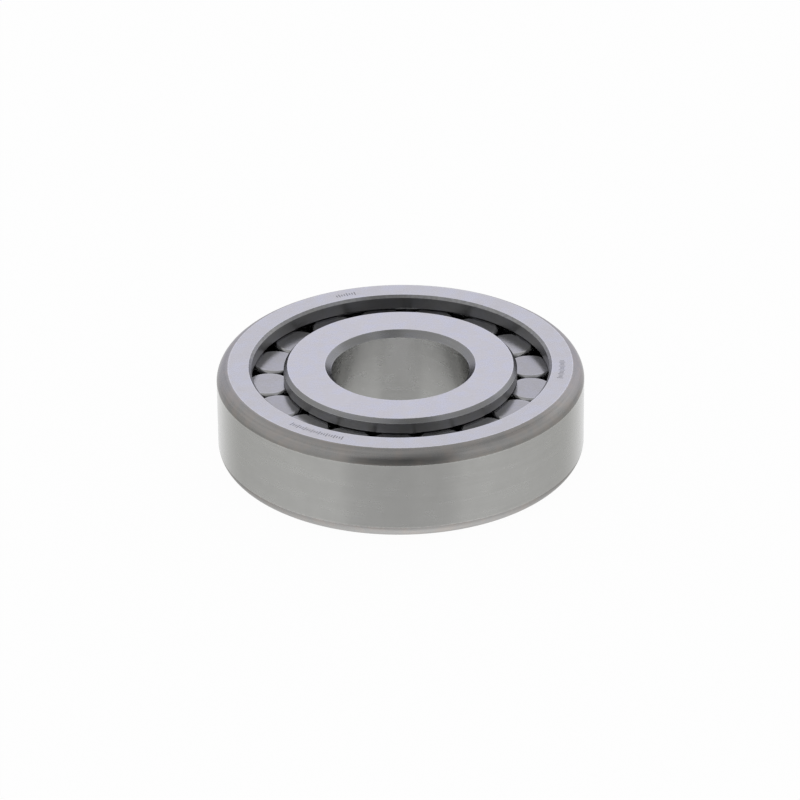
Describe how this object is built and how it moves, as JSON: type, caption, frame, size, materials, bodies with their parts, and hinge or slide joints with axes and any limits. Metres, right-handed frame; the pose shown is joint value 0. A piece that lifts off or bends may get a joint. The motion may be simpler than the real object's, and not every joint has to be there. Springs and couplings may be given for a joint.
{
  "type": "cylindrical roller bearing",
  "caption": "Full-complement cylindrical roller bearing that carries heavy radial load between a shaft and a housing.",
  "frame": {"origin": "centre of the bearing, on its axis and at mid width", "axes": "+Z along the bearing's axis, towards the side with the outer ring's integral flange; +X and +Y across"},
  "size_m": [0.08, 0.08, 0.021],
  "materials": {
    "ring_steel": "hardened and ground bearing steel",
    "roller_steel": "hardened, ground and honed bearing steel",
    "spring_steel": "tempered spring steel, satin grey"
  },
  "bodies": {
    "outer_ring": {"outer_ring": "ring_steel", "retaining_ring": "spring_steel"},
    "inner_ring": {"inner_ring": "ring_steel"},
    "roller_01": {"roller_01": "roller_steel"},
    "roller_02": {"roller_02": "roller_steel"},
    "roller_03": {"roller_03": "roller_steel"},
    "roller_04": {"roller_04": "roller_steel"},
    "roller_05": {"roller_05": "roller_steel"},
    "roller_06": {"roller_06": "roller_steel"},
    "roller_07": {"roller_07": "roller_steel"},
    "roller_08": {"roller_08": "roller_steel"},
    "roller_09": {"roller_09": "roller_steel"},
    "roller_10": {"roller_10": "roller_steel"},
    "roller_11": {"roller_11": "roller_steel"},
    "roller_12": {"roller_12": "roller_steel"},
    "roller_13": {"roller_13": "roller_steel"},
    "roller_14": {"roller_14": "roller_steel"},
    "roller_15": {"roller_15": "roller_steel"},
    "roller_16": {"roller_16": "roller_steel"},
    "roller_17": {"roller_17": "roller_steel"}
  },
  "joints": [
    {"name": "inner_ring_spin", "type": "hinge", "parent": "outer_ring", "child": "inner_ring", "pos_m": [0, 0, 0], "axis": [0, 0, 1], "continuous": true},
    {"name": "roller_set_orbit", "type": "hinge", "parent": "outer_ring", "child": "roller_01", "pos_m": [0, 0, 0], "axis": [0, 0, 1], "continuous": true},
    {"name": "roller_02_spin", "type": "hinge", "parent": "roller_01", "child": "roller_02", "pos_m": [-0.02749, 0.0086, 0], "axis": [0, 0, 1], "continuous": true},
    {"name": "roller_03_spin", "type": "hinge", "parent": "roller_01", "child": "roller_03", "pos_m": [-0.02875, -0.00173, 0], "axis": [0, 0, 1], "continuous": true},
    {"name": "roller_04_spin", "type": "hinge", "parent": "roller_01", "child": "roller_04", "pos_m": [-0.02625, -0.01184, 0], "axis": [0, 0, 1], "continuous": true},
    {"name": "roller_05_spin", "type": "hinge", "parent": "roller_01", "child": "roller_05", "pos_m": [-0.02033, -0.0204, 0], "axis": [0, 0, 1], "continuous": true},
    {"name": "roller_06_spin", "type": "hinge", "parent": "roller_01", "child": "roller_06", "pos_m": [-0.01175, -0.02629, 0], "axis": [0, 0, 1], "continuous": true},
    {"name": "roller_07_spin", "type": "hinge", "parent": "roller_01", "child": "roller_07", "pos_m": [-0.00163, -0.02875, 0], "axis": [0, 0, 1], "continuous": true},
    {"name": "roller_08_spin", "type": "hinge", "parent": "roller_01", "child": "roller_08", "pos_m": [0.00869, -0.02746, 0], "axis": [0, 0, 1], "continuous": true},
    {"name": "roller_09_spin", "type": "hinge", "parent": "roller_01", "child": "roller_09", "pos_m": [0.01789, -0.02257, 0], "axis": [0, 0, 1], "continuous": true},
    {"name": "roller_10_spin", "type": "hinge", "parent": "roller_01", "child": "roller_10", "pos_m": [0.02474, -0.01474, 0], "axis": [0, 0, 1], "continuous": true},
    {"name": "roller_11_spin", "type": "hinge", "parent": "roller_01", "child": "roller_11", "pos_m": [0.02837, -0.00498, 0], "axis": [0, 0, 1], "continuous": true},
    {"name": "roller_12_spin", "type": "hinge", "parent": "roller_01", "child": "roller_12", "pos_m": [0.02828, 0.00543, 0], "axis": [0, 0, 1], "continuous": true},
    {"name": "roller_13_spin", "type": "hinge", "parent": "roller_01", "child": "roller_13", "pos_m": [0.02424, 0.01556, 0], "axis": [0, 0, 1], "continuous": true},
    {"name": "roller_14_spin", "type": "hinge", "parent": "roller_01", "child": "roller_14", "pos_m": [0.01672, 0.02345, 0], "axis": [0, 0, 1], "continuous": true},
    {"name": "roller_15_spin", "type": "hinge", "parent": "roller_01", "child": "roller_15", "pos_m": [0.0068, 0.02798, 0], "axis": [0, 0, 1], "continuous": true},
    {"name": "roller_16_spin", "type": "hinge", "parent": "roller_01", "child": "roller_16", "pos_m": [-0.00409, 0.02851, 0], "axis": [0, 0, 1], "continuous": true},
    {"name": "roller_17_spin", "type": "hinge", "parent": "roller_01", "child": "roller_17", "pos_m": [-0.01439, 0.02495, 0], "axis": [0, 0, 1], "continuous": true}
  ],
  "couplings": [
    {"joint": "roller_set_orbit", "follows": "inner_ring_spin", "ratio": 0.41016},
    {"joint": "roller_02_spin", "follows": "inner_ring_spin", "ratio": -2.6928},
    {"joint": "roller_03_spin", "follows": "inner_ring_spin", "ratio": -2.6928},
    {"joint": "roller_04_spin", "follows": "inner_ring_spin", "ratio": -2.6928},
    {"joint": "roller_05_spin", "follows": "inner_ring_spin", "ratio": -2.6928},
    {"joint": "roller_06_spin", "follows": "inner_ring_spin", "ratio": -2.6928},
    {"joint": "roller_07_spin", "follows": "inner_ring_spin", "ratio": -2.6928},
    {"joint": "roller_08_spin", "follows": "inner_ring_spin", "ratio": -2.6928},
    {"joint": "roller_09_spin", "follows": "inner_ring_spin", "ratio": -2.6928},
    {"joint": "roller_10_spin", "follows": "inner_ring_spin", "ratio": -2.6928},
    {"joint": "roller_11_spin", "follows": "inner_ring_spin", "ratio": -2.6928},
    {"joint": "roller_12_spin", "follows": "inner_ring_spin", "ratio": -2.6928},
    {"joint": "roller_13_spin", "follows": "inner_ring_spin", "ratio": -2.6928},
    {"joint": "roller_14_spin", "follows": "inner_ring_spin", "ratio": -2.6928},
    {"joint": "roller_15_spin", "follows": "inner_ring_spin", "ratio": -2.6928},
    {"joint": "roller_16_spin", "follows": "inner_ring_spin", "ratio": -2.6928},
    {"joint": "roller_17_spin", "follows": "inner_ring_spin", "ratio": -2.6928}
  ]
}
